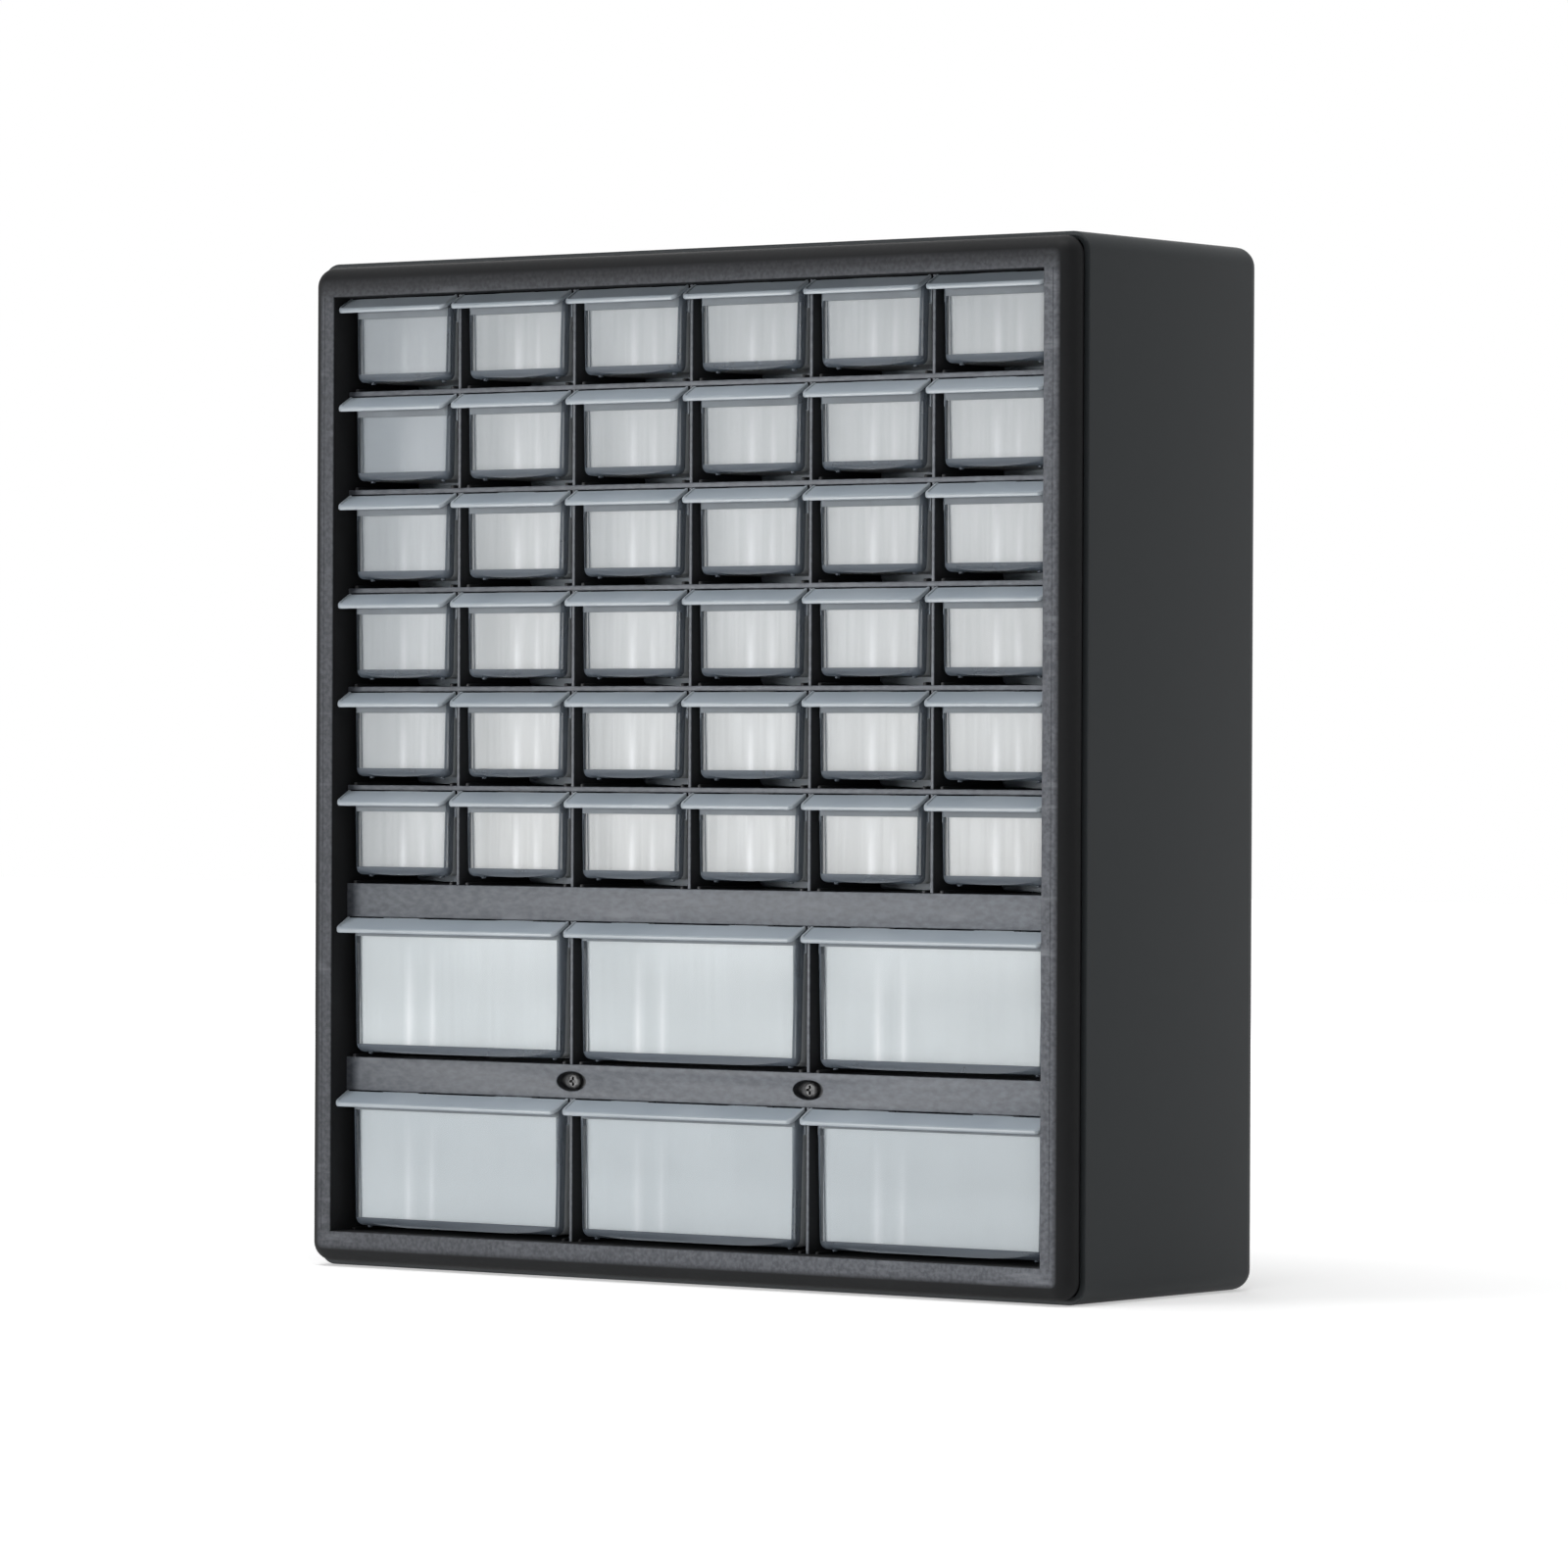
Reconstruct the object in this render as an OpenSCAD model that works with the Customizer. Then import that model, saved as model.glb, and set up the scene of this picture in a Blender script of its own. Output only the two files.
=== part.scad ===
// Parts bin cabinet: a moulded case with six rows of small clear drawers over two rows of large ones.
// The front looks along -Y. The origin is on the surface it stands on, under the middle of the case.

/* [Cells] */
// Clear width of a small cell
small_w = 57.4; // [50:0.1:66]
// Clear height of a small cell
small_h = 38.1; // [33:0.1:46]
// Clear height of a large cell
large_h = 57.2; // [46:0.1:70]
// Thickness of the upright dividers
divider_t = 1.4; // [1:0.1:2]
// Thickness of the shelves between small rows
shelf_t = 2; // [1.6:0.1:3]
// Height of the plain bars under the small rows and between the large rows
bar_h = 13.6; // [12.6:0.1:18]
// Distance from the front of the frame back to the shelf edges
recess = 10; // [9.2:0.1:13]

/* [Case] */
// Depth of the whole cabinet
depth = 130; // [118:1:170]
// Width of the frame round the opening, out to the side of the case
frame_w = 14.3; // [13.2:0.1:18]
// Radius of the case's long edges and of the frame's front edge
edge_r = 8; // [6:0.1:8.6]
// Wall of the housing
wall = 2.6; // [2:0.1:3]
// Thickness of the housing's back, at its rim
back_t = 3.2; // [2.8:0.1:4]
// Depth of the panel sunk in the back
back_sink = 1; // [0.6:0.1:1.4]
// Width of the rim left round that panel
back_rim = 14; // [12:0.5:20]

/* [Frame] */
// How far the frame's outline stands in from the housing's
frame_inset = 1.7; // [1:0.1:2.2]
// Depth of the frame's bezel, in front of the shadow groove
bezel_d = 8.4; // [8.4:0.1:9.4]
// Width of the shadow groove between bezel and housing
groove_w = 2; // [1.4:0.1:2.6]
// Depth of the shadow groove
groove_d = 1.1; // [0.8:0.1:1.4]
// Length of the frame's plug inside the housing's mouth
plug_l = 4; // [3:0.5:6]
// Wall of the sleeve that holds the cells
sleeve_t = 2; // [1.6:0.1:2.4]
// Clearance between the plug and the housing
plug_gap = 0.2; // [0.15:0.05:0.3]

/* [Drawers] */
// Gap between a drawer's body and the side of its cell, at the top
side_gap = 3.2; // [2.8:0.1:3.8]
// Wall of a drawer
drawer_wall = 1.6; // [1.2:0.1:1.8]
// Front wall of a drawer
face_t = 1.8; // [1.4:0.1:2]
// Slope of a drawer's side walls
draft = 1.5; // [0.5:0.1:2]
// Radius of a drawer's lower edges
belly_r = 5; // [4:0.1:5.6]
// Radius of a drawer's upright corners
corner_r = 3.6; // [2.6:0.1:4]
// Distance from the front of the frame to a drawer's face
face_set = 8.9; // [8.7:0.1:9.1]
// Space behind a closed drawer
rear_gap = 5.4; // [4:0.1:8]
// Running clearance under a drawer
run_gap = 0.4; // [0.3:0.05:0.6]
// Height of a small drawer's front underside above its cell's floor
small_raise = 3.6; // [3.2:0.1:4]
// Height of a large drawer's front underside above its cell's floor
large_raise = 2.1; // [1.7:0.1:3]
// Length of the raised front stretch of a drawer's underside
raise_l = 38; // [30:1:45]
// How far the lower rear part of a drawer stands in from its sides
keel_in = 0.6; // [0.4:0.1:1]
// Height of the thicker rim along a drawer's side walls
rim_h = 9; // [7:0.5:12]
// How far that rim stands out
rim_out = 0.9; // [0.6:0.1:1.2]

/* [Lips] */
// Gap between a drawer's lip and the side of its cell
lip_gap = 0.5; // [0.4:0.1:0.8]
// Distance from the front of the frame to a lip's front edge
lip_set = 1; // [0.6:0.1:2]
// Fall of a lip from back to front
lip_drop = 4.7; // [3.6:0.1:5.6]
// Thickness of a lip
lip_t = 1.4; // [1.2:0.1:1.8]
// Radius of a lip's front corners
lip_r = 3; // [2.4:0.1:8]
// Width of the bead round a lip
bead_w = 1.2; // [0.8:0.1:1.6]
// Height of that bead
bead_h = 0.4; // [0.3:0.1:0.6]
// Gap between a lip and the ceiling of its cell
lip_top_gap = 1; // [0.9:0.1:1.4]

/* [Stops] */
// Width of a drawer's tabs
tab_w = 18.4; // [14:0.1:22]
// Gap between a tab and the ceiling
tab_gap = 0.3; // [0.25:0.05:0.35]
// Height of the stop ridges under the ceiling of a cell
ridge_h = 0.9; // [0.8:0.1:1]
// Distance from the shelf edge back to a stop ridge
ridge_set = 4; // [3:0.1:6]
// Thickness of a stop ridge
ridge_t = 1.6; // [1.2:0.1:2.4]
// Width of the guide rails on a cell's floor
rail_w = 1.8; // [1.2:0.1:2]
// Height of the guide rails
rail_h = 2.4; // [1.8:0.1:2.6]

/* [Screws] */
// Length of the oval screw recesses
oval_l = 15.7; // [14:0.1:17]
// Height of the oval screw recesses
oval_h = 8.3; // [7.6:0.1:8.6]
// Depth of the oval screw recesses
oval_d = 3.5; // [3:0.1:4]
// Diameter of the screw heads
head_d = 6.4; // [5.6:0.1:6.8]
// Thickness of the screw heads
head_t = 2.2; // [1.8:0.1:2.6]
// Diameter of the screws
screw_d = 3.2; // [2.8:0.1:3.6]
// Length of the screws under the head
screw_l = 24; // [16:1:30]
// Diameter of the posts that the screws enter
post_d = 8.4; // [7.4:0.1:8.6]

/* [Wall hooks] */
// Diameter of a keyhole's entry circle
key_d = 9; // [7:0.1:11]
// Width of a keyhole's slot
key_slot = 4.6; // [3.6:0.1:5]
// Length of a keyhole's slot, from the circle's centre
key_l = 10; // [8:0.1:13]

/* [Hidden] */
small_cols = 6;
small_rows = 6;
large_cols = 3;
large_rows = 2;

$fn = 48;
eps = 0.01;

// Colours
black = [0.17, 0.175, 0.185];
charcoal = [0.23, 0.235, 0.245];
clear = [0.62, 0.68, 0.74, 0.55];
steel = [0.62, 0.62, 0.60];

// Widths and heights of the case
pitch = small_w + divider_t;
open_w = small_cols * pitch - divider_t;
large_w = (open_w - (large_cols - 1) * divider_t) / large_cols;
large_pitch = large_w + divider_t;
case_w = open_w + 2 * frame_w;
row_pitch = small_h + shelf_t;
lower_bar_z = frame_w + large_h;
upper_bar_z = lower_bar_z + bar_h + large_h;
small_z = upper_bar_z + bar_h;
open_top = small_z + small_rows * row_pitch - shelf_t;
case_h = open_top + frame_w;
open_h = open_top - frame_w;

// Places along the depth
front_y = -depth / 2;
shelf_y = front_y + recess;
inner_y = depth / 2 - back_t;
shelf_d = inner_y - shelf_y;
mouth_y = front_y + bezel_d + groove_w;
half_lap = shelf_y + shelf_d / 2;

// Frame outline
frame_ow = case_w - 2 * frame_inset;
frame_oh = case_h - 2 * frame_inset;
neck_w = frame_ow - 2 * groove_d;
neck_h = frame_oh - 2 * groove_d;
plug_w = case_w - 2 * wall - 2 * plug_gap;
plug_h = case_h - 2 * wall - 2 * plug_gap;
mouth_r = 0.9;            // rounding of the housing's front rim
lead_in = 0.5;            // bevel round the opening
line_w = 0.5;             // fine line beside the opening
line_d = 0.35;
line_x = open_w / 2 + (frame_ow / 2 - open_w / 2 - edge_r);

// Drawer
rear_y = depth - back_t - rear_gap;
rear_wall = drawer_wall;
step_y = face_set + raise_l;
foot_d = 2;
foot_h = 0.8;
rail_clear = 0.3;         // guide rail beside the drawer's lower edge

// Screws and bars
web_t = 2.2;              // front wall of a bar
plate_t = shelf_t;        // top and bottom of a bar
boss_w = oval_l + 5;
boss_d = oval_d + 4.5;
hole_gap = 0.3;
post_gap = 0.1;
key_x = (small_cols - 1) / 2 * pitch;
key_z = small_z + (small_rows - 2) * row_pitch + small_h / 2;

function floor_z(row) = small_z + (small_rows - row) * row_pitch;
function large_floor_z(row) = row == 1 ? lower_bar_z + bar_h : frame_w;
function cell_x(col) = (col - (small_cols + 1) / 2) * pitch;
function large_x(col) = (col - (large_cols + 1) / 2) * large_pitch;
function tab_places(cell_w) = cell_w > 1.5 * small_w ? [-pitch / 2, pitch / 2] : [0];
function body_half(cell_w) = cell_w / 2 - side_gap;

// ---------- shared shapes ----------

module rounded_rect(w, h, r) {
    square([w - 2 * r, h], center = true);
    square([w, h - 2 * r], center = true);
    for (x = [-1, 1], z = [-1, 1])
        translate([x * (w / 2 - r), z * (h / 2 - r)]) circle(r);
}

// A rounded rectangle in X and Z, from y0 to y1, centred on the case
module slab(w, h, r, y0, y1) {
    translate([0, y1, case_h / 2]) rotate([90, 0, 0])
        linear_extrude(y1 - y0) rounded_rect(w, h, r);
}

module block(x0, x1, y0, y1, z0, z1) {
    translate([x0, y0, z0]) cube([x1 - x0, y1 - y0, z1 - z0]);
}

// A block with its long edges and the edges of one face rounded alike; dir is 1 when that face looks to -Y
module rounded_block(w, h, r, y0, y1, dir) {
    face = dir > 0 ? y0 : y1;
    ball_y = face + dir * r;
    slab(w, h, r, dir > 0 ? ball_y : y0, dir > 0 ? y1 : ball_y);
    block(-w / 2 + r, w / 2 - r, min(face, ball_y), max(face, ball_y), case_h / 2 - h / 2 + r,
        case_h / 2 + h / 2 - r);
    for (x = [-1, 1]) {
        translate([x * (w / 2 - r), ball_y, case_h / 2 - h / 2 + r]) cylinder(h = h - 2 * r, r = r);
        for (z = [-1, 1])
            translate([x * (w / 2 - r), ball_y, case_h / 2 + z * (h / 2 - r)]) sphere(r);
    }
    for (z = [-1, 1])
        translate([-w / 2 + r, ball_y, case_h / 2 + z * (h / 2 - r)]) rotate([0, 90, 0])
            cylinder(h = w - 2 * r, r = r);
}

// ---------- floor rails and ceiling ridges ----------

// The two rails that guide a drawer, on a floor at z
module rails(x, z, cell_w) {
    rail_x = body_half(cell_w) - rail_clear;
    for (side = [-1, 1])
        block(x + side * rail_x - rail_w / 2, x + side * rail_x + rail_w / 2, shelf_y + line_w,
            inner_y, z - eps, z + rail_h);
}

// The ridges that catch a drawer's rear tabs, under a ceiling at z
module ridges(x, z, cell_w) {
    for (tx = tab_places(cell_w))
        block(x + tx - tab_w / 2, x + tx + tab_w / 2, shelf_y + ridge_set, shelf_y + ridge_set + ridge_t,
            z - ridge_h, z + eps);
}

// ---------- case ----------

module housing_shell() {
    difference() {
        union() {
            rounded_block(case_w, case_h, edge_r, mouth_y + mouth_r, depth / 2, -1);
            slab(case_w - 2 * mouth_r, case_h - 2 * mouth_r, edge_r - mouth_r, mouth_y, mouth_y + 2 * mouth_r);
            mouth_rim();
        }
        slab(case_w - 2 * wall, case_h - 2 * wall, edge_r - wall, mouth_y - 1, inner_y);
        slab(case_w - 2 * back_rim, case_h - 2 * back_rim, edge_r - wall, depth / 2 - back_sink, depth / 2 + 1);
    }
}

// The small rounding of the housing's front rim
module mouth_rim() {
    straight_w = case_w - 2 * edge_r;
    straight_h = case_h - 2 * edge_r;
    y = mouth_y + mouth_r;
    for (side = [-1, 1]) {
        translate([side * (case_w / 2 - mouth_r), y, edge_r]) cylinder(h = straight_h, r = mouth_r);
        translate([-straight_w / 2, y, case_h / 2 + side * (case_h / 2 - mouth_r)]) rotate([0, 90, 0])
            cylinder(h = straight_w, r = mouth_r);
        for (up = [-1, 1])
            translate([side * straight_w / 2, y, case_h / 2 + up * straight_h / 2]) rotate([90, 0, 0])
                rotate_extrude() translate([edge_r - mouth_r, 0]) circle(mouth_r);
    }
}

module post(x) {
    y = shelf_y + boss_d;
    translate([x, inner_y + eps, lower_bar_z + bar_h / 2]) rotate([90, 0, 0])
        cylinder(h = inner_y - y + eps, d = post_d);
}

module pilot(x) {
    y = shelf_y + boss_d;
    translate([x, y + screw_l, lower_bar_z + bar_h / 2]) rotate([90, 0, 0])
        cylinder(h = screw_l + 1, d = screw_d + 2 * post_gap);
}

module keyhole(x) {
    translate([x, depth / 2 + 1, key_z]) rotate([90, 0, 0]) {
        cylinder(h = back_t + 2, d = key_d);
        translate([-key_slot / 2, 0, 0]) cube([key_slot, key_l, back_t + 2]);
        translate([0, key_l, 0]) cylinder(h = back_t + 2, d = key_slot);
    }
}

module housing() {
    color(charcoal) difference() {
        union() {
            housing_shell();
            for (side = [-1, 1]) post(side * large_pitch / 2);
        }
        for (side = [-1, 1]) {
            pilot(side * large_pitch / 2);
            keyhole(side * key_x);
        }
    }
}

module front_frame() {
    color(black) {
        difference() {
            union() {
                bezel_block();
                slab(neck_w, neck_h, edge_r - groove_d, front_y + bezel_d / 2, mouth_y + plug_l);
                slab(plug_w, plug_h, edge_r - wall, mouth_y, mouth_y + plug_l);
                block(-open_w / 2 - sleeve_t, open_w / 2 + sleeve_t, front_y + edge_r, inner_y,
                    frame_w - sleeve_t, open_top + sleeve_t);
            }
            block(-open_w / 2, open_w / 2, front_y - 1, inner_y + 1, frame_w, open_top);
            opening_bevel();
            for (side = [-1, 1])
                block(side * line_x - line_w / 2, side * line_x + line_w / 2, front_y - 1, front_y + line_d,
                    frame_w, open_top);
        }
        for (c = [1 : large_cols]) rails(large_x(c), frame_w, large_w);
        for (c = [1 : small_cols]) ridges(cell_x(c), open_top, small_w);
    }
}

// The bezel before the opening is cut: its back ends at the shadow groove
module bezel_block() {
    intersection() {
        rounded_block(frame_ow, frame_oh, edge_r, front_y, front_y + bezel_d, 1);
        block(-case_w / 2, case_w / 2, front_y - 1, front_y + bezel_d, 0, case_h);
    }
}

// Bevel round the opening's front edge
module opening_bevel() {
    bar_s = lead_in * sqrt(2);
    for (side = [-1, 1]) {
        translate([side * open_w / 2, front_y, frame_w]) rotate([0, 0, 45])
            translate([-bar_s / 2, -bar_s / 2, 0]) cube([bar_s, bar_s, open_h]);
        translate([-open_w / 2, front_y, case_h / 2 + side * open_h / 2]) rotate([45, 0, 0])
            translate([0, -bar_s / 2, -bar_s / 2]) cube([open_w, bar_s, bar_s]);
    }
}

// ---------- grid ----------

module shelf(k) {
    top = floor_z(k);
    color(black) difference() {
        union() {
            block(-open_w / 2, open_w / 2, shelf_y, inner_y, top - shelf_t, top);
            for (c = [1 : small_cols]) {
                rails(cell_x(c), top, small_w);
                ridges(cell_x(c), top - shelf_t, small_w);
            }
        }
        for (d = [1 : small_cols - 1])
            block(cell_x(d + 0.5) - divider_t / 2, cell_x(d + 0.5) + divider_t / 2, half_lap, inner_y + 1,
                top - shelf_t - 1, top + 1);
    }
}

module divider(k) {
    x = cell_x(k + 0.5);
    color(black) difference() {
        block(x - divider_t / 2, x + divider_t / 2, shelf_y, inner_y, small_z, open_top);
        for (s = [1 : small_rows - 1])
            block(x - divider_t, x + divider_t, shelf_y - 1, half_lap, floor_z(s) - shelf_t, floor_z(s));
    }
}

module large_dividers(row) {
    z = large_floor_z(row);
    color(black) for (c = [1 : large_cols - 1])
        block(large_x(c + 0.5) - divider_t / 2, large_x(c + 0.5) + divider_t / 2, shelf_y, inner_y,
            z, z + large_h);
}

// A hollow bar: a front wall with a floor plate above and a ceiling plate below
module bar(z) {
    block(-open_w / 2, open_w / 2, shelf_y, shelf_y + web_t, z, z + bar_h);
    block(-open_w / 2, open_w / 2, shelf_y, inner_y, z + bar_h - plate_t, z + bar_h);
    block(-open_w / 2, open_w / 2, shelf_y, inner_y, z, z + plate_t);
    for (c = [1 : large_cols]) ridges(large_x(c), z, large_w);
}

module upper_bar() {
    color(black) {
        bar(upper_bar_z);
        for (c = [1 : small_cols]) rails(cell_x(c), small_z, small_w);
    }
}

module lower_bar() {
    z = lower_bar_z + bar_h / 2;
    color(black) difference() {
        union() {
            bar(lower_bar_z);
            for (side = [-1, 1])
                block(side * large_pitch / 2 - boss_w / 2, side * large_pitch / 2 + boss_w / 2, shelf_y,
                    shelf_y + boss_d, lower_bar_z + eps, lower_bar_z + bar_h - eps);
            for (c = [1 : large_cols]) rails(large_x(c), lower_bar_z + bar_h, large_w);
        }
        for (side = [-1, 1])
            translate([side * large_pitch / 2, shelf_y, z]) screw_recess();
    }
}

module screw_recess() {
    rotate([90, 0, 0]) {
        translate([0, 0, -oval_d]) linear_extrude(oval_d + 1) {
            square([oval_l - oval_h, oval_h], center = true);
            for (side = [-1, 1]) translate([side * (oval_l - oval_h) / 2, 0]) circle(d = oval_h);
        }
        translate([0, 0, -boss_d - 1]) cylinder(h = boss_d, d = screw_d + 2 * hole_gap);
    }
}

module frame_screws() {
    y = shelf_y + oval_d;
    color(steel) for (side = [-1, 1])
        translate([side * large_pitch / 2, y, lower_bar_z + bar_h / 2]) rotate([90, 0, 0]) {
            screw_head();
            translate([0, 0, -screw_l]) cylinder(h = screw_l + eps, d = screw_d);
        }
}

// A domed head with a cross recess
module screw_head() {
    cross = head_d * 0.55;
    blade = head_d * 0.16;
    rim = head_t * 0.35;
    ball = (head_d * head_d / 4 + (head_t - rim) * (head_t - rim)) / (2 * (head_t - rim));
    difference() {
        union() {
            cylinder(h = rim, d = head_d);
            intersection() {
                translate([0, 0, head_t - ball]) sphere(ball);
                cylinder(h = head_t + 1, d = head_d);
            }
        }
        for (turn = [0, 90]) rotate([0, 0, turn])
            translate([-cross / 2, -blade / 2, head_t * 0.55]) cube([cross, blade, head_t]);
    }
}

// ---------- drawers ----------

// Cross-section of a drawer: sides that slope by the draft and round lower edges
module drawer_section(half, top, bottom, r) {
    cz = bottom + r;
    cx = half + (sin(draft) * (cz - top) - r) / cos(draft);
    side_x = cx + r * cos(draft);
    side_z = cz - r * sin(draft);
    polygon([[-cx, bottom], [cx, bottom], [side_x, side_z], [half, top], [-half, top], [-side_x, side_z]]);
    for (side = [-1, 1]) translate([side * cx, cz]) circle(r);
}

module drawer_length(half, top, bottom, r, y0, y1) {
    translate([0, y1, 0]) rotate([90, 0, 0]) linear_extrude(y1 - y0) drawer_section(half, top, bottom, r);
}

// Plan of a drawer with rounded upright corners
module drawer_plan(half, y0, y1, r, z1) {
    translate([0, (y0 + y1) / 2, -1]) linear_extrude(z1 + 2) rounded_rect(2 * half, y1 - y0, r);
}

module drawer_body(cell_w, top, raise) {
    half = body_half(cell_w);
    in_half = half - drawer_wall;
    difference() {
        union() {
            intersection() {
                union() {
                    drawer_length(half, top, raise, belly_r, face_set, rear_y);
                    drawer_length(half - keel_in, top, run_gap, belly_r, step_y, rear_y);
                }
                drawer_plan(half, face_set, rear_y, corner_r, top);
            }
            side_rims(half, top);
        }
        intersection() {
            union() {
                drawer_length(in_half, top + 1, raise + drawer_wall, belly_r - drawer_wall, face_set, rear_y);
                drawer_length(in_half - keel_in, top + 1, run_gap + drawer_wall, belly_r - drawer_wall,
                    step_y + drawer_wall, rear_y);
            }
            drawer_plan(in_half, face_set + face_t, rear_y - rear_wall, corner_r - drawer_wall, top + 1);
        }
    }
}

// Thicker rim along the top of both side walls
module side_rims(half, top) {
    for (side = [-1, 1])
        block(side > 0 ? half - drawer_wall / 2 : -half - rim_out, side > 0 ? half + rim_out : -half + drawer_wall / 2,
            face_set + corner_r, rear_y - corner_r, top - rim_h, top);
}

// Side view of the sloping lip, lifted by rise
module lip_profile(top, rise, thick) {
    back_y = recess - tab_gap;
    polygon([[lip_set - 1, top - lip_drop * 10 / 9 + rise - thick], [lip_set - 1, top - lip_drop * 10 / 9 + rise],
        [back_y, top + rise], [back_y, top + rise - thick]]);
}

module lip_slab(half, top, rise, thick) {
    translate([-half, 0, 0]) rotate([90, 0, 90]) linear_extrude(2 * half) lip_profile(top, rise, thick);
}

// Plan of the lip, drawn in by inset
module lip_plan(half, inset) {
    y0 = lip_set + inset;
    r = lip_r - inset;
    w = half - inset;
    back_y = recess - tab_gap;
    translate([-w, y0 + r]) square([2 * w, back_y - y0 - r + 1]);
    translate([-w + r, y0]) square([2 * (w - r), r + 1]);
    for (side = [-1, 1]) translate([side * (w - r), y0 + r]) circle(r);
}

module lip(cell_w, top) {
    half = cell_w / 2 - lip_gap;
    thick = lip_t;
    intersection() {
        lip_slab(half, top, 0, thick);
        translate([0, 0, -1]) linear_extrude(top + 3) lip_plan(half, 0);
    }
    intersection() {
        lip_slab(half, top, bead_h, bead_h + thick / 2);
        translate([0, 0, -1]) linear_extrude(top + 3) difference() {
            lip_plan(half, 0);
            lip_plan(half, bead_w);
        }
    }
}

// A whole drawer in its cell: x = 0 is the middle, y = 0 the frame's front, z = 0 the cell's floor
module drawer(cell_w, cell_h, raise) {
    lip_top = cell_h - lip_top_gap;
    wall_top = lip_top - ridge_h;
    tab_top = cell_h - tab_gap;
    half = body_half(cell_w);
    color(clear) {
        drawer_body(cell_w, wall_top, raise);
        face_top(half, wall_top, lip_top);
        lip(cell_w, lip_top);
        for (x = tab_places(cell_w)) {
            block(x - tab_w / 2, x + tab_w / 2, face_set + face_t / 2, face_set + face_t, wall_top, tab_top);
            block(x - tab_w / 2, x + tab_w / 2, rear_y - rear_wall, rear_y, wall_top - 1, tab_top);
        }
        for (side = [-1, 1])
            translate([side * (half - belly_r - foot_d), face_set + corner_r + foot_d / 2, raise - foot_h])
                cylinder(h = foot_h + drawer_wall / 2, d = foot_d);
    }
}

// The front wall carries on up to the lip
module face_top(half, low, high) {
    block(-half + corner_r, half - corner_r, face_set, face_set + face_t, low - 1, high);
}

module small_drawer(row, col) {
    translate([cell_x(col), front_y, floor_z(row)]) drawer(small_w, small_h, small_raise);
}

module large_drawer(row, col) {
    translate([large_x(col), front_y, large_floor_z(row)]) drawer(large_w, large_h, large_raise);
}

housing();
front_frame();
upper_bar();
lower_bar();
frame_screws();
large_dividers(1);  // large_dividers_upper
large_dividers(2);  // large_dividers_lower
for (k = [1 : small_rows - 1])
    shelf(k);
for (k = [1 : small_cols - 1])
    divider(k);
for (r = [1 : small_rows], c = [1 : small_cols])
    small_drawer(r, c);
for (r = [1 : large_rows], c = [1 : large_cols])
    large_drawer(r, c);
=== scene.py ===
import math
import random

import bpy
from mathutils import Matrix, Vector


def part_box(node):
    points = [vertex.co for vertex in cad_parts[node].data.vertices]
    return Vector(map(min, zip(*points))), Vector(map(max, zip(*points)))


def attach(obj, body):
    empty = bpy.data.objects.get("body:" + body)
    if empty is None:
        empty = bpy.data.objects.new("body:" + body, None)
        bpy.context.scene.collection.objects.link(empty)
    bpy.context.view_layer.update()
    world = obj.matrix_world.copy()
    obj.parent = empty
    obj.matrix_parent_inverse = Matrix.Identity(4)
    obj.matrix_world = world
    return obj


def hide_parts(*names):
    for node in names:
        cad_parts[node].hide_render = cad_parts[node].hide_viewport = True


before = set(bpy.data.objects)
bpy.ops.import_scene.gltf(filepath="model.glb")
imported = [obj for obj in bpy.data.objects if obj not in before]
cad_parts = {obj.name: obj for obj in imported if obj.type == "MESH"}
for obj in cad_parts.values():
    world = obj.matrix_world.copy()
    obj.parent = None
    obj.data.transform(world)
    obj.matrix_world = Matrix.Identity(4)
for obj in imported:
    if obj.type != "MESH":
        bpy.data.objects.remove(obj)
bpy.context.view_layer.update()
mm = 0.001
tiny = 0.01 * mm              # places closer than this count as the same
straight = 0.999              # a direction that follows an axis
quarterTurn = math.pi / 2
random.seed(11)
caseLow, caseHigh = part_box("housing")
frameLow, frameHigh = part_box("front_frame")
shelfLow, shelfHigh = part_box("shelf_1")
frontY = frameLow[1]          # plane of the bezel
edgeY = shelfLow[1]           # plane of the shelf edges
railTall = 2.4 * mm           # a rail stands this far above its shelf
ridgeDrop = 0.9 * mm          # a stop ridge hangs this far below its ceiling
print("frame loaded")


# selecting and simple blocks

def objectMode():
    bpy.ops.object.mode_set(mode="OBJECT")


def editMode():
    bpy.ops.object.mode_set(mode="EDIT")


def deselectAll():
    if bpy.context.object and bpy.context.object.mode != "OBJECT":
        objectMode()
    bpy.ops.object.select_all(action="DESELECT")


def pick(piece, *others):
    deselectAll()
    for other in others:
        other.select_set(True)
    piece.select_set(True)
    bpy.context.view_layer.objects.active = piece


def clearChoice(piece, kind):
    pick(piece)
    editMode()
    bpy.ops.mesh.select_mode(type=kind)
    bpy.ops.mesh.select_all(action="DESELECT")
    objectMode()


# each choose function leaves the piece in edit mode

def chooseFaces(piece, test):  # test reads a face's centre and its normal
    clearChoice(piece, "FACE")
    for face in piece.data.polygons:
        face.select = test(face.center, face.normal)
    editMode()


def chooseEdges(piece, test):  # test reads an edge's middle and its direction
    clearChoice(piece, "EDGE")
    points = piece.data.vertices
    for edge in piece.data.edges:
        a, b = points[edge.vertices[0]].co, points[edge.vertices[1]].co
        edge.select = test((a + b) / 2, (b - a).normalized())
    editMode()


def chooseVertices(piece, test):
    clearChoice(piece, "VERT")
    for point in piece.data.vertices:
        point.select = test(point.co)
    editMode()


def bevelChosen(width, segments):
    bpy.ops.mesh.bevel(offset=width, offset_type="OFFSET", segments=segments, profile=0.5,
                       affect="EDGES", clamp_overlap=True)
    objectMode()


def moveChosen(shift):
    bpy.ops.transform.translate(value=shift)
    objectMode()


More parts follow.
